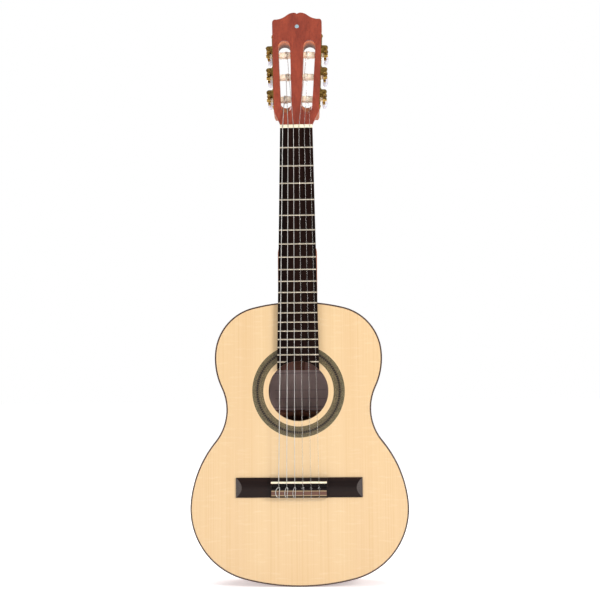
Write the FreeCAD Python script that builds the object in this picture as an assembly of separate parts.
import FreeCAD, Part
import math
import os

V = FreeCAD.Vector

# A quarter-size classical guitar, in millimetres. It stands upright: +Z from tail to head, +X to
# the treble side, and the soundboard faces -Y. The origin is on the neck, under the fretboard's
# top end, where the nut meets it; the soundboard's outside and the neck's top face lie on y = 0.

# ---- body
TAIL_Z = -620.2
# half of the body's outline, walked from the tail up the treble side to the neck: radius of each
# arc and the angle it turns through; the minus angle is the waist, and a last arc closes the top
OUTLINE_ARCS = ((292.0, 14.8), (97.3, 81.4), (150.7, 33.1), (68.1, -64.7), (92.8, 31.3), (68.3, 70.0))
TOP_THICK = 2.2
BACK_THICK = 2.4
RIB_THICK = 1.8
BINDING = 2.0
LINING_WIDE = 4.5
LINING_TALL = 12.0
HEEL_DEPTH = 76.0
TAIL_DEPTH = 82.0
HEEL_Z = -238.4
HOLE_Z = -359.3
HOLE_R = 40.5
ROSETTE_IN = 47.7
ROSETTE_OUT = 62.6
ROSETTE_DEEP = 0.8
BRACE_WIDE = 8.0
BRACE_TALL = 14.0
LABEL_WIDE = 96.0
LABEL_TOP = -330.0
LABEL_END = -386.0
LABEL_THICK = 0.25

# ---- scale, neck and fretboard
SCALE = 480.0
FRET_COUNT = 19
NUT_WIDE = 44.5
WIDEN = 0.0375
BOARD_THICK = 6.0
BOARD_END_R = 40.5
LAST_FRET_R = 42.6
NUT_THICK = 4.8
FRET_WIDE = 2.2
FRET_TALL = 0.95
TANG_WIDE = 0.6
TANG_DEEP = 1.6
NECK_DEEP = 15.0
HEEL_HALF = 10.5

# ---- head
HEAD_TILT = 15.0
HEAD_THICK = 20.0
PLATE_THICK = 2.0
SHOULDER_L = 22.0
SHOULDER_HALF = 31.25
CORNER_L = 165.0
CORNER_HALF = 35.3
CREST_L = 179.0
SLOT_LOW = 31.0
SLOT_TOP = 134.0
SLOT_WIDE_LOW = 15.0
SLOT_WIDE_TOP = 17.0
SLOT_MID_LOW = 14.5
SLOT_MID_TOP = 17.8
RAMP_LOW = 20.0
RAMP_R = 7.3
RAMP_SLANT = 32.0

# ---- tuning machines: u runs out of the head's side, v up along it, w out of the head's face
ROLLERS = (44.5, 79.5, 114.5)
ROLLER_W = -9.5
BARREL_R = 4.7
SHAFT_R = 3.0
PIN_R = 2.5
RUN_GAP = 0.06
CHEEK_HOLE_R = 5.1
SIDE_PLATE = 1.0
SIDE_PLATE_HALF = 6.4
SIDE_PLATE_LOW = 30.0
SIDE_PLATE_TOP = 148.0
GEAR_TEETH = 14
GEAR_R = 6.6
GEAR_FROM = 4.5
GEAR_TO = 7.9
WORM_U = 6.2
WORM_V = 9.0
WORM_R = 2.4
WORM_SHAFT_R = 1.5
LUG_FROM = 5.3
LUG_TO = 6.4
LUG_R = 3.7
BUTTON_W = -36.0
BUTTON_TOP_W = -24.0

# ---- bridge and strings
BRIDGE_TOP = -475.2
BRIDGE_END = -501.8
BRIDGE_HALF = 85.2
BRIDGE_MID_HALF = 38.5
BRIDGE_TALL = 8.0
WING_TALL = 4.6
SADDLE_Z = -481.3
SADDLE_THICK = 2.6
SADDLE_HALF = 37.35
SADDLE_TALL = 11.8
TIE_TOP = -489.6
TIE_HOLE_Y = -4.4
TIE_TURN_Z = -488.6
TIE_LEAD = (150.0, 150.0, 122.0)
NUT_STEP = 7.4
SADDLE_STEP = 10.75
NUT_SLOT_Y = -7.3
STRING_GAP = 0.06
# string number: its radius and where it meets its roller, from the centre line
STRING_R = (0.35, 0.40, 0.50, 0.375, 0.45, 0.55)
ROLLER_X = (17.0, 15.0, 13.8, 13.8, 15.0, 17.0)
TURNS = (4, 4, 3, 3, 3, 3)


def box(x0, x1, y0, y1, z0, z1):
    return Part.makeBox(x1 - x0, y1 - y0, z1 - z0, V(x0, y0, z0))


def rod(radius, start, end):
    way = end - start
    return Part.makeCylinder(radius, way.Length, start, way)


def prism(points, way):
    return Part.Face(Part.makePolygon(points + [points[0]])).extrude(way)


def mirrored(shape):
    return shape.mirror(V(0, 0, 0), V(1, 0, 0))


def save(name, shape):
    shape.exportStep("parts/" + name + ".step")


# ---------------------------------------------------------------- body outline

def half_outline(inset, side):
    edges = []
    x = 0.0
    z = TAIL_Z + inset
    heading = 0.0
    for radius, turn in OUTLINE_ARCS:
        bend = 1.0 if turn > 0 else -1.0
        r = (radius - bend * inset) * bend
        cx = x - r * math.sin(heading)
        cz = z + r * math.cos(heading)
        marks = [V(side * x, 0, z)]
        for part in (0.5, 1.0):
            a = heading + part * math.radians(turn)
            marks.append(V(side * (cx + r * math.sin(a)), 0, cz - r * math.cos(a)))
        edges.append(Part.Arc(*marks).toShape())
        heading += math.radians(turn)
        x = cx + r * math.sin(heading)
        z = cz - r * math.cos(heading)
    r = x / math.sin(heading)
    cz = z + r * math.cos(heading)
    a = 0.5 * (heading + math.pi)
    mid = V(side * r * math.sin(a), 0, cz - r * math.cos(a))
    edges.append(Part.Arc(V(side * x, 0, z), mid, V(0, 0, cz + r)).toShape())
    return edges


def outline_face(inset):
    edges = half_outline(inset, 1) + half_outline(inset, -1)
    return Part.Face(Part.Wire(Part.__sortEdges__(edges)))


def outline_prism(inset, y0=-1.0, y1=100.0):
    face = outline_face(inset)
    face.translate(V(0, y0, 0))
    return face.extrude(V(0, y1 - y0, 0))


def back_y(z):
    slope = (TAIL_DEPTH - HEEL_DEPTH) / (HEEL_Z - TAIL_Z)
    return HEEL_DEPTH + slope * (HEEL_Z - z)


def back_slab(front, rear, z0=-640.0, z1=-150.0):
    # a slice parallel to the back, from `front` to `rear` in front of its outside
    points = []
    for z, lift in ((z0, front), (z0, rear), (z1, rear), (z1, front)):
        points.append(V(-200, back_y(z) - lift, z))
    return prism(points, V(400, 0, 0))


def chamber():
    # everything between the soundboard and the back
    points = []
    for z in (-640.0, -150.0):
        points.append((TOP_THICK, z))
        points.append((back_y(z) - BACK_THICK, z))
    order = (points[0], points[1], points[3], points[2])
    return prism([V(-200, y, z) for y, z in order], V(400, 0, 0))


# ---------------------------------------------------------------- body pieces

def hole_disc(radius, y0, y1):
    return Part.makeCylinder(radius, y1 - y0, V(0, y0, HOLE_Z), V(0, 1, 0))


def make_rosette():
    return hole_disc(ROSETTE_OUT, 0, ROSETTE_DEEP).cut(hole_disc(ROSETTE_IN, -1, 5))


def make_soundboard():
    board = outline_prism(BINDING, 0, TOP_THICK)
    board = board.cut(hole_disc(HOLE_R, -1, 5))
    return board.cut(make_rosette())


def make_top_binding():
    return outline_prism(0, 0, TOP_THICK).cut(outline_prism(BINDING, -1, 5))


def heel_tongue():
    heel = make_heel_block()
    return heel.common(back_slab(BACK_THICK, 0)).cut(outline_prism(0))


def make_back():
    plate = outline_prism(BINDING).common(back_slab(BACK_THICK, 0))
    tongue = heel_tongue()
    wide = tongue.BoundBox.XMax
    bridge = outline_prism(0).cut(outline_prism(BINDING)).common(back_slab(BACK_THICK, 0))
    bridge = bridge.common(box(-wide, wide, 0, 100, -300, -200))
    return plate.fuse([bridge, tongue]).removeSplitter(), wide


def make_back_binding(tongue_half):
    ring = outline_prism(0).cut(outline_prism(BINDING)).common(back_slab(BACK_THICK, 0))
    return ring.cut(box(-tongue_half, tongue_half, 0, 100, -300, -200))


def make_ribs():
    ring = outline_prism(0).cut(outline_prism(RIB_THICK)).common(chamber())
    bass = ring.common(box(-200, 0, -5, 100, -640, -200))
    treble = ring.common(box(0, 200, -5, 100, -640, -200))
    return bass, treble


def make_neck_block():
    block = box(-28, 28, 0, 100, HEEL_Z - 24, -200)
    upright = [e for e in block.Edges if abs(e.Length - 100) < 0.1 and e.BoundBox.ZMax < -250]
    block = block.makeFillet(5, upright)
    return block.common(outline_prism(RIB_THICK)).common(chamber())


def make_tail_block():
    block = box(-30, 30, 0, 100, -640, TAIL_Z + 18)
    upright = [e for e in block.Edges if abs(e.Length - 100) < 0.1 and e.BoundBox.ZMin > -610]
    block = block.makeFillet(5, upright)
    return block.common(outline_prism(RIB_THICK)).common(chamber())


def make_linings(blocks):
    ring = outline_prism(RIB_THICK).cut(outline_prism(RIB_THICK + LINING_WIDE))
    front = ring.common(box(-200, 200, TOP_THICK, TOP_THICK + LINING_TALL, -640, -200))
    rear = ring.common(back_slab(BACK_THICK + LINING_TALL, BACK_THICK))
    strips = []
    for band in (front, rear):
        for block in blocks:
            band = band.cut(block)
        strips += band.Solids
    return Part.Compound(strips)


def cross_bar(z, y_glue, tall):
    # a bar across the inside, glued at y_glue and standing `tall` into the body, rounded on top
    half = 0.5 * BRACE_WIDE
    way = 1 if tall > 0 else -1
    knee = y_glue + tall - way * half
    a = V(-200, y_glue, z - half)
    b = V(-200, knee, z - half)
    c = V(-200, y_glue + tall, z)
    d = V(-200, knee, z + half)
    e = V(-200, y_glue, z + half)
    wire = Part.Wire([Part.makeLine(a, b), Part.Arc(b, c, d).toShape(), Part.makeLine(d, e),
                      Part.makeLine(e, a)])
    return Part.Face(wire).extrude(V(400, 0, 0))


def make_top_braces():
    inside = outline_prism(RIB_THICK + LINING_WIDE)
    pieces = []
    for z in (-288.0, -430.0):
        pieces.append(cross_bar(z, TOP_THICK, BRACE_TALL).common(inside))
    for i in range(-2, 3):
        spread = 7.5 * i
        strut = box(-2.5, 2.5, TOP_THICK, TOP_THICK + 4.5, -164, 0)
        strut.rotate(V(0, 0, 0), V(0, 1, 0), -spread)
        strut.translate(V(14.0 * i, 0, -438.0))
        pieces.append(strut.common(inside))
    return Part.Compound(pieces)


def make_back_braces():
    inside = outline_prism(RIB_THICK + LINING_WIDE)
    pieces = []
    marks = (-290.0, -392.0, -505.0)
    for z in marks:
        bar = cross_bar(z, back_y(z) + 1, -BRACE_TALL - 1 - BACK_THICK)
        pieces.append(bar.common(inside).cut(back_slab(BACK_THICK, -20)))
    strip = box(-7, 7, 0, 100, -600, -264)
    strip = strip.common(back_slab(BACK_THICK + 1.6, BACK_THICK))
    for z in marks:
        strip = strip.cut(box(-20, 20, 0, 100, z - 0.5 * BRACE_WIDE, z + 0.5 * BRACE_WIDE))
    strip = strip.cut(box(-20, 20, 0, 100, LABEL_END, LABEL_TOP))
    pieces += strip.Solids
    return Part.Compound(pieces)


def make_label():
    half = 0.5 * LABEL_WIDE
    sheet = box(-half, half, 0, 100, LABEL_END, LABEL_TOP)
    return sheet.common(back_slab(BACK_THICK + LABEL_THICK, BACK_THICK))


# ---------------------------------------------------------------- bridge

def wing_section():
    a = V(-BRIDGE_HALF, 0, BRIDGE_TOP)
    b = V(-BRIDGE_HALF, -1.6, BRIDGE_TOP)
    c = V(-BRIDGE_HALF, -WING_TALL, 0.5 * (BRIDGE_TOP + BRIDGE_END))
    d = V(-BRIDGE_HALF, -1.6, BRIDGE_END)
    e = V(-BRIDGE_HALF, 0, BRIDGE_END)
    wire = Part.Wire([Part.makeLine(a, b), Part.Arc(b, c, d).toShape(), Part.makeLine(d, e),
                      Part.makeLine(e, a)])
    return Part.Face(wire)


def make_bridge():
    wings = wing_section().extrude(V(2 * BRIDGE_HALF, 0, 0))
    for side in (-1, 1):
        end = side * BRIDGE_HALF
        bevel = [V(end + side, -1.2, -520), V(end - side * 9, -WING_TALL - 0.4, -520),
                 V(end + side, -9, -520)]
        wings = wings.cut(prism(bevel, V(0, 0, 60)))
    mid = box(-BRIDGE_MID_HALF, BRIDGE_MID_HALF, -BRIDGE_TALL, 0, BRIDGE_END, BRIDGE_TOP)
    front = [e for e in mid.Edges if e.BoundBox.YMax < -7 and e.BoundBox.XLength > 50]
    mid = mid.makeFillet(2.2, front)
    bridge = wings.fuse(mid).removeSplitter()
    # channel between the saddle's block and the tie block, and the saddle's slot
    low = SADDLE_Z - 0.5 * SADDLE_THICK - 1.6
    bridge = bridge.cut(box(-37.2, 37.2, -20, -3.0, TIE_TOP, low))
    bridge = bridge.cut(saddle_blank())
    trim_box = tie_trim_blank()
    bridge = bridge.cut(trim_box)
    for n in range(1, 7):
        x = string_x(n, SADDLE_STEP)
        bridge = bridge.cut(rod(STRING_R[n - 1] + 0.25, V(x, TIE_HOLE_Y, -510), V(x, TIE_HOLE_Y, -489)))
    return bridge


def saddle_blank():
    half = 0.5 * SADDLE_THICK
    return box(-SADDLE_HALF, SADDLE_HALF, -SADDLE_TALL, -3.4, SADDLE_Z - half, SADDLE_Z + half)


def make_saddle():
    blank = saddle_blank()
    top = [e for e in blank.Edges if e.BoundBox.YMax < -10 and e.BoundBox.XLength > 50]
    return blank.makeFillet(1.25, top)


def tie_trim_blank():
    mid = 0.5 * (TIE_TOP + BRIDGE_END)
    return box(-37.0, 37.0, -BRIDGE_TALL, -BRIDGE_TALL + 1.0, mid - 3.6, mid + 3.6)


def make_tie_trim():
    blank = tie_trim_blank()
    mid = 0.5 * (TIE_TOP + BRIDGE_END)
    bands = []
    for z0, z1 in ((-3.6, -2.4), (-2.4, 2.4), (2.4, 3.6)):
        bands.append(blank.common(box(-40, 40, -20, 0, mid + z0, mid + z1)))
    return Part.Compound(bands)


# ---------------------------------------------------------------- neck and head

def board_half(z):
    return 0.5 * (NUT_WIDE - WIDEN * z)


def round_section(z, y0, half, deep, power):
    # flat in front at y0, rounded behind; a larger power gives squarer shoulders
    marks = []
    count = 16
    for i in range(count + 1):
        a = math.pi * i / count
        c = math.cos(a)
        s = max(math.sin(a), 0.0)
        x = half * math.copysign(abs(c) ** (2.0 / power), c)
        marks.append(V(x, y0 + deep * s ** (2.0 / power), z))
    curve = Part.BSplineCurve()
    curve.interpolate(marks)
    return Part.Wire([curve.toShape(), Part.makeLine(marks[-1], marks[0])])


def make_shaft():
    wires = []
    for z in (0.0, -70.0, -140.0, -215.0):
        wires.append(round_section(z, 0.0, board_half(z), NECK_DEEP - z * 0.012, 2.15))
    return Part.makeLoft(wires, True, False)


def heel_side_half(y):
    # half width of the heel, wide under the fretboard and narrow at the back
    top = board_half(HEEL_Z)
    t = min(max(y, 0.0) / HEEL_DEPTH, 1.0)
    return HEEL_HALF + (top - HEEL_HALF) * (1 - t) ** 1.7


def make_heel_block():
    # seen from the side: a hollow sweep from the shaft's underside down to the heel's foot
    foot = HEEL_Z + 15.0
    a = V(-40, 0, HEEL_Z - 4)
    b = V(-40, 0, -185)
    c = V(-40, 14, -185)
    d = V(-40, 19.5, -205)
    e = V(-40, 34, foot + 5)
    f = V(-40, HEEL_DEPTH + 3, foot)
    g = V(-40, HEEL_DEPTH + 3, HEEL_Z - 4)
    sweep = Part.BSplineCurve()
    sweep.interpolate([c, d, e, V(-40, 52, foot + 1.2), f])
    wire = Part.Wire([Part.makeLine(a, b), Part.makeLine(b, c), sweep.toShape(), Part.makeLine(f, g),
                      Part.makeLine(g, a)])
    side = Part.Face(wire).extrude(V(80, 0, 0))
    sections = []
    for y in (0.0, 12.0, 26.0, 42.0, 60.0, HEEL_DEPTH + 3):
        half = heel_side_half(y)
        nose = 0.55 * half
        base = HEEL_Z - 4
        # rounded nose towards the head, straight towards the body
        reach = heel_reach(y) + 0.4
        marks = [V(-half, y, base), V(-half, y, reach - nose * 1.6), V(-0.72 * half, y, reach - nose * 0.45),
                 V(0, y, reach), V(0.72 * half, y, reach - nose * 0.45), V(half, y, reach - nose * 1.6),
                 V(half, y, base)]
        curve = Part.BSplineCurve()
        curve.interpolate(marks[1:6])
        sections.append(Part.Wire([Part.makeLine(marks[0], marks[1]), curve.toShape(),
                                   Part.makeLine(marks[5], marks[6]), Part.makeLine(marks[6], marks[0])]))
    return Part.makeLoft(sections, True, False)


def heel_reach(y):
    # how far up the neck the heel reaches at each depth
    if y < 14.0:
        return -150.0
    t = (y - 14.0) / (HEEL_DEPTH + 3 - 14.0)
    return HEEL_Z + 15.0 + 22.0 * (1 - t) ** 3


def side_half(l):
    slope = (CORNER_HALF - SHOULDER_HALF) / (CORNER_L - SHOULDER_L)
    return SHOULDER_HALF + slope * (l - SHOULDER_L)


def side_angle():
    return math.degrees(math.atan2(CORNER_HALF - SHOULDER_HALF, CORNER_L - SHOULDER_L))


def tilt(shape):
    # from a flat, upright head (x, y = -w, z = l) to its place behind the nut
    out = shape.copy()
    out.rotate(V(0, 0, 0), V(1, 0, 0), -HEAD_TILT)
    out.translate(V(0, 0, NUT_THICK))
    return out


def head_outline(low):
    right = [V(0.5 * NUT_WIDE, 0, 0), V(0.5 * NUT_WIDE + 0.3, 0, 3), V(SHOULDER_HALF, 0, SHOULDER_L)]
    edges = []
    if low <= 0:
        edges.append(Part.makeLine(V(0, 0, 0), right[0]))
        edges.append(Part.makeLine(right[0], right[1]))
        edges.append(Part.makeLine(right[1], right[2]))
    else:
        t = (low - 3) / (SHOULDER_L - 3)
        start = V(right[1].x + t * (right[2].x - right[1].x), 0, low)
        edges.append(Part.makeLine(V(0, 0, low), start))
        edges.append(Part.makeLine(start, right[2]))
    corner = V(side_half(CORNER_L - 3), 0, CORNER_L - 3)
    edges.append(Part.makeLine(right[2], corner))
    curve = Part.BSplineCurve()
    curve.interpolate([corner, V(34.7, 0, CORNER_L + 0.6), V(33.2, 0, CORNER_L + 2.7),
                       V(30.5, 0, CORNER_L + 3.3)])
    edges.append(curve.toShape())
    rise = Part.BSplineCurve()
    rise.interpolate([V(30.5, 0, CORNER_L + 3.3), V(22.4, 0, CORNER_L + 5.0), V(16.8, 0, CORNER_L + 8.2),
                      V(12.5, 0, CORNER_L + 11.6), V(8.6, 0, CREST_L - 0.6), V(4.8, 0, CREST_L),
                      V(0, 0, CREST_L - 1.9)])
    edges.append(rise.toShape())
    whole = list(edges)
    for edge in edges:
        whole.append(edge.mirror(V(0, 0, 0), V(1, 0, 0)))
    return Part.Face(Part.Wire(Part.__sortEdges__(whole)))


def slot_cutter(side):
    # one long slot with round ends, right through the head, and the ramp carved below it
    low = SLOT_LOW + 3.0
    high = SLOT_TOP - 0.5 * SLOT_WIDE_TOP
    in_low = SLOT_MID_LOW - 0.5 * SLOT_WIDE_LOW
    out_low = SLOT_MID_LOW + 0.5 * SLOT_WIDE_LOW
    a = V(side * in_low, -5, low)
    b = V(side * out_low, -5, low)
    c = V(side * (SLOT_MID_TOP + 0.5 * SLOT_WIDE_TOP), -5, high)
    d = V(side * SLOT_MID_TOP, -5, SLOT_TOP)
    e = V(side * (SLOT_MID_TOP - 0.5 * SLOT_WIDE_TOP), -5, high)
    foot = V(side * SLOT_MID_LOW, -5, SLOT_LOW)
    wire = Part.Wire([Part.Arc(a, foot, b).toShape(), Part.makeLine(b, c), Part.Arc(c, d, e).toShape(),
                      Part.makeLine(e, a)])
    through = Part.Face(wire).extrude(V(0, 40, 0))
    # the ramp is a slanting round-nosed cut, deepest where it runs into the slot
    nose = Part.makeCylinder(RAMP_R, 60, V(0, 0, 0), V(0, 0, 1))
    nose.rotate(V(0, 0, 0), V(1, 0, 0), -RAMP_SLANT)
    nose.translate(V(side * SLOT_MID_LOW, -RAMP_R, RAMP_LOW))
    keep = box(side * SLOT_MID_LOW - 20, side * SLOT_MID_LOW + 20, -12, 30, 0, SLOT_LOW + 6)
    return through.fuse(nose.common(keep))


def make_head_transition():
    # from the shaft's end at the nut, widening and squaring up into the head
    wires = [round_section(0.0, 0.0, board_half(0), NECK_DEEP, 2.15)]
    cos_t = math.cos(math.radians(HEAD_TILT))
    tan_t = math.tan(math.radians(HEAD_TILT))
    for l in (0.0, 5.0, 10.0, 15.0, 20.0, 25.0):
        z = NUT_THICK + l * cos_t
        share = min(max((l - 1.0) / (SHOULDER_L - 1.0), 0.0), 1.0)
        half = 0.5 * NUT_WIDE + (SHOULDER_HALF - 0.5 * NUT_WIDE) * share - 0.05
        if l > SHOULDER_L:
            half = side_half(l) - 0.05
        ease = share * share * (3 - 2 * share)
        deep = NECK_DEEP + (HEAD_THICK / cos_t - NECK_DEEP) * ease
        wires.append(round_section(z, l * cos_t * tan_t, half, deep, 2.15 + 4.0 * ease))
    return Part.makeLoft(wires, True, True)


def make_neck():
    neck = make_shaft().fuse(make_heel_block())
    foot = back_slab(BACK_THICK, -40)
    neck = neck.cut(foot).cut(outline_prism(0, -5, 100))
    slab = head_outline(18.0)
    slab.translate(V(0, PLATE_THICK, 0))
    slab = slab.extrude(V(0, HEAD_THICK - PLATE_THICK, 0))
    head = make_head_transition().fuse(tilt(slab))
    neck = neck.fuse(head)
    neck = neck.cut(tilt(head_outline(0).extrude(V(0, PLATE_THICK, 0))))
    neck = neck.cut(tilt(box(-60, 60, -30, PLATE_THICK, 0, 60)))
    for side in (-1, 1):
        neck = neck.cut(tilt(slot_cutter(side)))
    holes = [place_right(hole_set())]
    holes.append(mirrored(holes[0]))
    for cutter in holes:
        neck = neck.cut(cutter)
    return neck


def make_headplate():
    plate = head_outline(0).extrude(V(0, PLATE_THICK, 0))
    for side in (-1, 1):
        plate = plate.cut(slot_cutter(side))
    return tilt(plate)


def make_fretboard():
    z1 = -335.0
    points = [V(-board_half(0), 0, 0), V(board_half(0), 0, 0), V(board_half(z1), 0, z1),
              V(-board_half(z1), 0, z1)]
    board = prism(points, V(0, -BOARD_THICK, 0))
    board = board.cut(hole_disc(BOARD_END_R, -20, 5))
    for n in range(1, FRET_COUNT + 1):
        z = fret_z(n)
        half = 0.5 * TANG_WIDE
        board = board.cut(box(-60, 60, -10, -BOARD_THICK + TANG_DEEP, z - half, z + half))
    return board


def fret_z(n):
    return -SCALE * (1.0 - 2.0 ** (-n / 12.0))


def make_frets():
    pieces = []
    for n in range(1, FRET_COUNT + 1):
        z = fret_z(n)
        half = 0.5 * FRET_WIDE
        tang = 0.5 * TANG_WIDE
        y = -BOARD_THICK
        end = board_half(z) - 0.15
        a = V(-end, y, z - half)
        b = V(-end, y - FRET_TALL, z)
        c = V(-end, y, z + half)
        d = V(-end, y, z + tang)
        e = V(-end, y + TANG_DEEP, z + tang)
        f = V(-end, y + TANG_DEEP, z - tang)
        g = V(-end, y, z - tang)
        wire = Part.Wire([Part.Arc(a, b, c).toShape(), Part.makeLine(c, d), Part.makeLine(d, e),
                          Part.makeLine(e, f), Part.makeLine(f, g), Part.makeLine(g, a)])
        fret = Part.Face(wire).extrude(V(2 * end, 0, 0))
        if n == FRET_COUNT:
            fret = fret.cut(hole_disc(LAST_FRET_R, -20, 5))
        pieces += fret.Solids
    return Part.Compound(pieces)


def make_nut():
    half = 0.5 * NUT_WIDE
    points = [V(-half, 0, 0), V(-half, NUT_SLOT_Y - 0.9, 0), V(-half, NUT_SLOT_Y - 0.9, 1.2),
              V(-half, NUT_SLOT_Y + 1.4, NUT_THICK), V(-half, 0, NUT_THICK)]
    nut = prism(points, V(2 * half, 0, 0))
    for n in range(1, 7):
        x = string_x(n, NUT_STEP)
        r = STRING_R[n - 1]
        y = NUT_SLOT_Y
        reach = roller_mark(n) - V(x, y, 1.0)
        fall = reach.y / reach.z
        wide = r + 0.22
        cut = [V(x - wide, y, -1), V(x - wide, y, 0.5), V(x - wide, y + fall * 6 + 0.4, 7.0),
               V(x - wide, -14, 7.0), V(x - wide, -14, -1)]
        nut = nut.cut(prism(cut, V(2 * wide, 0, 0)))
    return nut


# ---------------------------------------------------------------- tuning machines

def place_unit(shape, l):
    # from a machine's own (x = u, y = -w, z = v) to the treble side of the head at l
    out = shape.copy()
    out.rotate(V(0, 0, 0), V(0, 1, 0), side_angle())
    out.translate(V(side_half(l), 0, l))
    return tilt(out)


def place_right(units):
    shapes = [place_unit(shape, l) for shape, l in units]
    return shapes[0].multiFuse(shapes[1:])


def slot_span(l):
    t = (l - SLOT_LOW) / (SLOT_TOP - SLOT_LOW)
    mid = SLOT_MID_LOW + t * (SLOT_MID_TOP - SLOT_MID_LOW)
    half = 0.5 * (SLOT_WIDE_LOW + t * (SLOT_WIDE_TOP - SLOT_WIDE_LOW))
    return mid - half, mid + half


def hole_set():
    # shaft holes through the cheeks, blind bearings in the centre rib, and the screws' holes
    holes = []
    y = -ROLLER_W
    for l in ROLLERS:
        inner, outer = slot_span(l)
        cheek = side_half(l) - outer + 1.0
        rib = side_half(l) - inner + 5.4
        holes.append((rod(CHEEK_HOLE_R, V(2, y, 0), V(-cheek, y, 0)), l))
        holes.append((rod(PIN_R + RUN_GAP, V(-cheek - 5, y, 0), V(-rib, y, 0)), l))
    for l in screw_marks():
        holes.append((rod(1.2, V(2, y, 0), V(-8.0, y, 0)), l))
    return holes


def screw_marks():
    return (SIDE_PLATE_LOW + 4.0, 0.5 * (ROLLERS[0] + ROLLERS[1]) - 1.0,
            0.5 * (ROLLERS[1] + ROLLERS[2]) - 1.0,
            SIDE_PLATE_TOP - 2.6)


def make_side_plate():
    # built against the head's side at its lowest roller, so v is measured from there
    base = ROLLERS[0]
    cos_a = math.cos(math.radians(side_angle()))
    y = -ROLLER_W
    low = (SIDE_PLATE_LOW - base) / cos_a
    top = (SIDE_PLATE_TOP - base) / cos_a
    half = SIDE_PLATE_HALF
    plate = box(0, SIDE_PLATE, y - half, y + half, low + half, top - half)
    for v in (low + half, top - half):
        plate = plate.fuse(rod(half, V(0, y, v), V(SIDE_PLATE, y, v)))
    for l in ROLLERS:
        v = (l - base) / cos_a + WORM_V
        for w in (-LUG_TO, LUG_FROM):
            lug = box(0, WORM_U, y + w, y + w + LUG_TO - LUG_FROM, v - LUG_R, v + LUG_R)
            lug = lug.fuse(rod(LUG_R, V(WORM_U, y + w, v), V(WORM_U, y + w + LUG_TO - LUG_FROM, v)))
            plate = plate.fuse(lug)
    plate = plate.removeSplitter()
    for l in ROLLERS:
        v = (l - base) / cos_a
        plate = plate.cut(rod(SHAFT_R + RUN_GAP, V(-1, y, v), V(3, y, v)))
        v += WORM_V
        plate = plate.cut(rod(WORM_SHAFT_R + RUN_GAP, V(WORM_U, y - 9, v), V(WORM_U, y + 9, v)))
    for l in screw_marks():
        v = (l - base) / cos_a
        plate = plate.cut(rod(1.2, V(-1, y, v), V(3, y, v)))
    return place_unit(plate, base)


def make_screws():
    y = -ROLLER_W
    screw = rod(1.2, V(-7.5, y, 0), V(SIDE_PLATE, y, 0))
    dome = Part.makeSphere(2.6, V(SIDE_PLATE - 1.5, y, 0))
    head = dome.common(box(SIDE_PLATE, 6, y - 4, y + 4, -4, 4))
    slot = box(SIDE_PLATE + 0.6, 6, y - 4, y + 4, -0.25, 0.25)
    screw = screw.fuse(head).removeSplitter().cut(slot)
    pieces = [place_unit(screw, l) for l in screw_marks()]
    pieces += [mirrored(piece) for piece in pieces]
    return Part.Compound(pieces)


def make_barrel(l):
    y = -ROLLER_W
    inner, outer = slot_span(l)
    out = side_half(l) - outer + 0.5
    far = side_half(l) - inner - 0.5
    barrel = rod(BARREL_R, V(-far, y, 0), V(-out, y, 0))
    shaft = rod(SHAFT_R, V(-out - 1, y, 0), V(GEAR_FROM, y, 0))
    pin = rod(PIN_R, V(-far - 5.0, y, 0), V(-far + 1, y, 0))
    barrel = barrel.fuse([shaft, pin]).removeSplitter()
    return barrel


def tooth(a, half_root, half_tip, r_root, r_tip):
    # one gear tooth's corners in the gear's plane, at angle a
    c = math.cos(a)
    s = math.sin(a)
    marks = []
    for r, t in ((r_root, -half_root), (r_tip, -half_tip), (r_tip, half_tip), (r_root, half_root)):
        marks.append((r * c - t * s, r * s + t * c))
    return marks


def make_gear():
    y = -ROLLER_W
    points = []
    for i in range(GEAR_TEETH):
        a = math.pi / 2 + 2 * math.pi * (i + 0.5) / GEAR_TEETH
        for p, q in tooth(a, 0.68, 0.37, GEAR_R - 1.05, GEAR_R + 0.6):
            points.append(V(GEAR_FROM, y + p, q))
    gear = prism(points, V(GEAR_TO - GEAR_FROM, 0, 0))
    return gear


def make_gear_screw():
    y = -ROLLER_W
    tall = 1.9
    head = rod(2.6, V(GEAR_TO, y, 0), V(GEAR_TO + tall, y, 0))
    rim = [e for e in head.Edges if abs(e.BoundBox.XMin - GEAR_TO - tall) < 0.01]
    head = head.makeFillet(0.9, rim)
    return head.cut(box(GEAR_TO + tall - 0.6, GEAR_TO + 3, y - 4, y + 4, -0.3, 0.3))


def make_worm():
    y = -ROLLER_W
    lead = 2 * math.pi * GEAR_R / GEAR_TEETH
    half = 4.6
    core_r = 1.35
    core = rod(core_r, V(0, 0, -half), V(0, 0, half))
    thread = worm_thread(lead, half)
    worm = core.fuse(thread)
    for z0, z1 in ((-LUG_TO - 0.3, -half), (half, LUG_TO + 0.8)):
        worm = worm.fuse(rod(WORM_SHAFT_R, V(0, 0, z0), V(0, 0, z1)))
    stem = rod(WORM_SHAFT_R, V(0, 0, BUTTON_W - ROLLER_W), V(0, 0, -LUG_TO))
    collar = rod(2.4, V(0, 0, -LUG_TO - 2.0), V(0, 0, -LUG_TO - 0.35))
    worm = worm.fuse([stem, collar]).removeSplitter()
    # turned so that a gap in the thread holds the gear's tooth at rest
    worm.rotate(V(0, 0, 0), V(0, 0, 1), 165)
    # +Z of the worm's own frame is w, out of the head's face
    worm.rotate(V(0, 0, 0), V(1, 0, 0), 90)
    worm.translate(V(WORM_U, y, WORM_V))
    return worm


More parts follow.
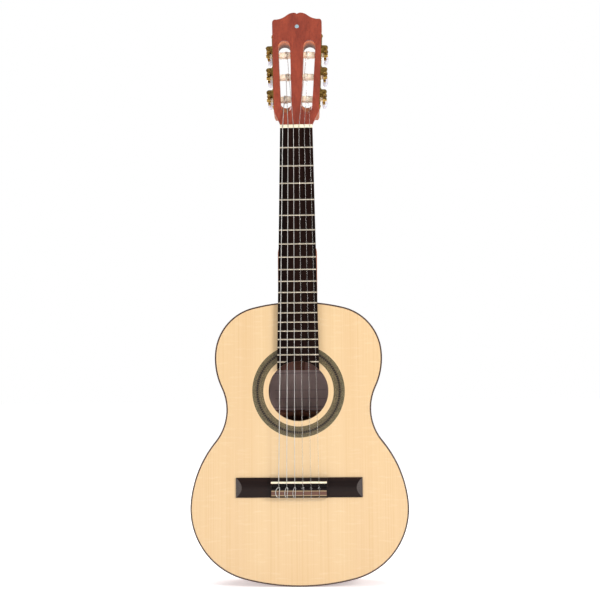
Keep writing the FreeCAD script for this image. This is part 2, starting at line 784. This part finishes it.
def worm_thread(lead, half):
    turns = 2 * (half - 0.75) / lead
    z0 = -0.5 * turns * lead
    helix = Part.makeHelix(lead, turns * lead, WORM_R)
    helix.translate(V(0, 0, z0))
    root = 0.68
    tip = 0.37
    top = WORM_R + 0.65
    marks = [V(1.15, 0, z0 - root), V(top, 0, z0 - tip), V(top, 0, z0 + tip), V(1.15, 0, z0 + root)]
    profile = Part.makePolygon(marks + [marks[0]])
    shell = Part.BRepOffsetAPI.MakePipeShell(Part.Wire(helix.Edges))
    shell.setFrenetMode(True)
    shell.add(profile)
    shell.build()
    shell.makeSolid()
    return shell.shape()


def make_button():
    # (w, half thickness, half width) down the button from its collar
    y = -ROLLER_W
    steps = ((0.0, 2.9, 3.0), (2.0, 3.1, 3.8), (4.5, 3.6, 5.6), (8.0, 3.95, 7.0), (13.5, 3.95, 7.3),
             (17.5, 3.5, 6.6), (20.0, 2.7, 5.0), (21.1, 1.7, 3.0))
    wires = []
    for w, thin, wide in steps:
        marks = []
        for i in range(12):
            a = 2 * math.pi * i / 12
            marks.append(V(thin * math.cos(a), wide * math.sin(a), -w))
        curve = Part.BSplineCurve()
        curve.interpolate(marks, True)
        wires.append(Part.Wire([curve.toShape()]))
    button = Part.makeLoft(wires, True, False)
    button = button.cut(rod(WORM_SHAFT_R, V(0, 0, 1), V(0, 0, BUTTON_W - BUTTON_TOP_W - 0.5)))
    button.translate(V(0, 0, BUTTON_TOP_W - ROLLER_W))
    button.rotate(V(0, 0, 0), V(1, 0, 0), 90)
    button.translate(V(WORM_U, y, WORM_V))
    return button


# ---------------------------------------------------------------- strings

def string_x(n, step):
    return (3.5 - n) * step


def head_point(x, l, w):
    t = math.radians(HEAD_TILT)
    return V(x, l * math.sin(t) - w * math.cos(t), NUT_THICK + l * math.cos(t) + w * math.sin(t))


def roller_spot(n):
    # where string n's wrap crosses its roller's axis: side, x, l
    side = 1 if n <= 3 else -1
    l = ROLLERS[n - 1] if n <= 3 else ROLLERS[6 - n]
    x = ROLLER_X[n - 1]
    a = math.radians(side_angle())
    u = (x - side_half(l)) / math.cos(a)
    return side, x, l - u * math.sin(a), l


def nut_corner(n):
    r = STRING_R[n - 1]
    return V(string_x(n, NUT_STEP), NUT_SLOT_Y - STRING_GAP - r, 1.0)


def roller_mark(n):
    # the point where the string first meets its roller
    side, x, l, mark = roller_spot(n)
    wrap = BARREL_R + 0.2 + STRING_R[n - 1]
    corner = nut_corner(n)
    t = math.radians(HEAD_TILT)
    # the corner in the head's own l and w
    dz = corner.z - NUT_THICK
    cl = corner.y * math.sin(t) + dz * math.cos(t)
    cw = -corner.y * math.cos(t) + dz * math.sin(t)
    far = math.hypot(cl - l, cw - ROLLER_W)
    base = math.atan2(cw - ROLLER_W, cl - l)
    a = base - math.acos(wrap / far)
    return head_point(side * x, l + wrap * math.cos(a), ROLLER_W + wrap * math.sin(a))


def wrap_arc(n):
    side, x, l, mark = roller_spot(n)
    wrap = BARREL_R + 0.2 + STRING_R[n - 1]
    start = roller_mark(n)
    t = math.radians(HEAD_TILT)
    dz = start.z - NUT_THICK
    sl = start.y * math.sin(t) + dz * math.cos(t)
    sw = -start.y * math.cos(t) + dz * math.sin(t)
    a = math.atan2(sw - ROLLER_W, sl - l)
    marks = [start]
    for turn in (-115.0, -230.0):
        b = a + math.radians(turn)
        marks.append(head_point(side * x, l + wrap * math.cos(b), ROLLER_W + wrap * math.sin(b)))
    return Part.Arc(*marks).toShape()


def bent_path(points, bend):
    # straight runs joined by arcs of radius `bend`
    edges = []
    at = points[0]
    for i in range(1, len(points) - 1):
        p = points[i]
        back = (points[i - 1] - p).normalize()
        on = (points[i + 1] - p).normalize()
        half = 0.5 * back.getAngle(on)
        cut = bend / math.tan(half)
        limit = 0.45 * min((points[i - 1] - p).Length, (points[i + 1] - p).Length)
        cut = min(cut, limit)
        r = cut * math.tan(half)
        first = p + back * cut
        last = p + on * cut
        to_mid = (back + on).normalize()
        mid = p + to_mid * (r / math.sin(half) - r)
        edges.append(Part.makeLine(at, first))
        edges.append(Part.Arc(first, mid, last).toShape())
        at = last
    edges.append(Part.makeLine(at, points[-1]))
    return edges


def sweep_round(edges, radius):
    start = edges[0].valueAt(edges[0].FirstParameter)
    way = edges[0].tangentAt(edges[0].FirstParameter)
    profile = Part.Wire([Part.makeCircle(radius, start, way)])
    return Part.Wire(edges).makePipeShell([profile], True, False, 0)


def tie_start(n, x, lap, turn_r):
    # the loose end: on the wound strings an open bow over the tie block, on the plain ones a short stub
    if n < 4:
        stub = Part.makeLine(V(x - turn_r, lap, TIE_TURN_Z - 2.2), V(x - turn_r, lap, TIE_TURN_Z))
        return [stub], 180.0
    lead = TIE_LEAD[n - 4]
    a = math.radians(lead)
    meet = V(x + turn_r * math.cos(a), lap, TIE_TURN_Z + turn_r * math.sin(a))
    start = V(x - 1.9, lap, BRIDGE_END + 1.0)
    inward = V(-math.cos(a), 0, -math.sin(a))
    back = start - meet
    radius = back.dot(back) / (2.0 * back.dot(inward))
    centre = meet + inward * radius
    halfway = (start - centre) + (meet - centre)
    halfway.normalize()
    bow = Part.Arc(start, centre + halfway * radius, meet)
    return [bow.toShape()], lead


def make_string(n):
    r = STRING_R[n - 1]
    x = string_x(n, SADDLE_STEP)
    lap = -BRIDGE_TALL - STRING_GAP - r
    turn_r = r + 0.6
    rear = BRIDGE_END - 0.6 - r
    # the loose end and the turn round the string, then over the tie block, through it and over the saddle
    edges, lead = tie_start(n, x, lap, turn_r)
    lean = math.asin(turn_r / (TIE_TURN_Z - rear))
    first = edges[-1].valueAt(edges[-1].LastParameter)
    half = math.radians(0.5 * (lead - math.degrees(lean)))
    middle = V(x + turn_r * math.cos(half), lap, TIE_TURN_Z + turn_r * math.sin(half))
    last = V(x + turn_r * math.cos(lean), lap, TIE_TURN_Z - turn_r * math.sin(lean))
    edges.append(Part.Arc(first, middle, last).toShape())
    over = V(x, -SADDLE_TALL - STRING_GAP - r - 0.12, SADDLE_Z - 0.9)
    points = [last, V(x, lap, rear), V(x, TIE_HOLE_Y, rear), V(x, TIE_HOLE_Y, TIE_TOP + 0.3),
              over, nut_corner(n), roller_mark(n)]
    edges += bent_path(points, 1.5)
    edges.append(wrap_arc(n))
    return sweep_round(edges, r)


def make_winding(n):
    # the turns on the roller, side by side, beside the stretched string's last wrap
    r = STRING_R[n - 1]
    side, x, l, mark = roller_spot(n)
    inner = BARREL_R + 0.02
    mid = inner + r
    start = 0.0
    edges = [Part.makeLine(V(0, inner, 0), V(0, mid, 0))]
    for turn in range(TURNS[n - 1]):
        a = V(start, mid, 0)
        b = V(start + r, mid + r, 0)
        c = V(start + 2 * r, mid, 0)
        edges.append(Part.Arc(a, b, c).toShape())
        start += 2 * r
    edges.append(Part.makeLine(V(start, mid, 0), V(start, inner, 0)))
    edges.append(Part.makeLine(V(start, inner, 0), V(0, inner, 0)))
    coil = Part.Face(Part.Wire(edges)).revolve(V(0, 0, 0), V(1, 0, 0), 360)
    u = (x - side_half(mark)) / math.cos(math.radians(side_angle()))
    gap = r + 0.35
    shift = u + gap if n in (3, 4) else u - gap - start
    coil.translate(V(shift, -ROLLER_W, 0))
    coil = place_unit(coil, mark)
    return coil if side > 0 else mirrored(coil)


# ---------------------------------------------------------------- everything

def main():
    os.makedirs("parts", exist_ok=True)
    neck_block = make_neck_block()
    tail_block = make_tail_block()
    back, tongue_half = make_back()
    bass, treble = make_ribs()
    save("soundboard", make_soundboard())
    save("rosette", make_rosette())
    save("top_binding", make_top_binding())
    save("back", back)
    save("back_binding", make_back_binding(tongue_half))
    save("rib_bass", bass)
    save("rib_treble", treble)
    save("neck_block", neck_block)
    save("tail_block", tail_block)
    save("linings", make_linings([neck_block, tail_block]))
    save("top_braces", make_top_braces())
    save("back_braces", make_back_braces())
    save("label", make_label())
    save("bridge", make_bridge())
    save("saddle", make_saddle())
    save("tie_block_trim", make_tie_trim())
    save("neck", make_neck())
    save("headplate", make_headplate())
    save("fretboard", make_fretboard())
    save("frets", make_frets())
    save("nut", make_nut())
    plate = make_side_plate()
    save("tuner_plate_treble", plate)
    save("tuner_plate_bass", mirrored(plate))
    save("tuner_screws", make_screws())
    gear = make_gear()
    gear_screw = make_gear_screw()
    worm = make_worm()
    button = make_button()
    for n in range(1, 7):
        side, x, l, mark = roller_spot(n)
        pieces = {
            "barrel": make_barrel(mark),
            "gear": Part.Compound([gear, gear_screw]),
            "worm": worm,
            "button": button,
        }
        for name, piece in pieces.items():
            placed = place_unit(piece, mark)
            if side < 0:
                placed = mirrored(placed)
            save(name + "_" + str(n), placed)
        save("string_" + str(n), make_string(n))
        save("winding_" + str(n), make_winding(n))


main()
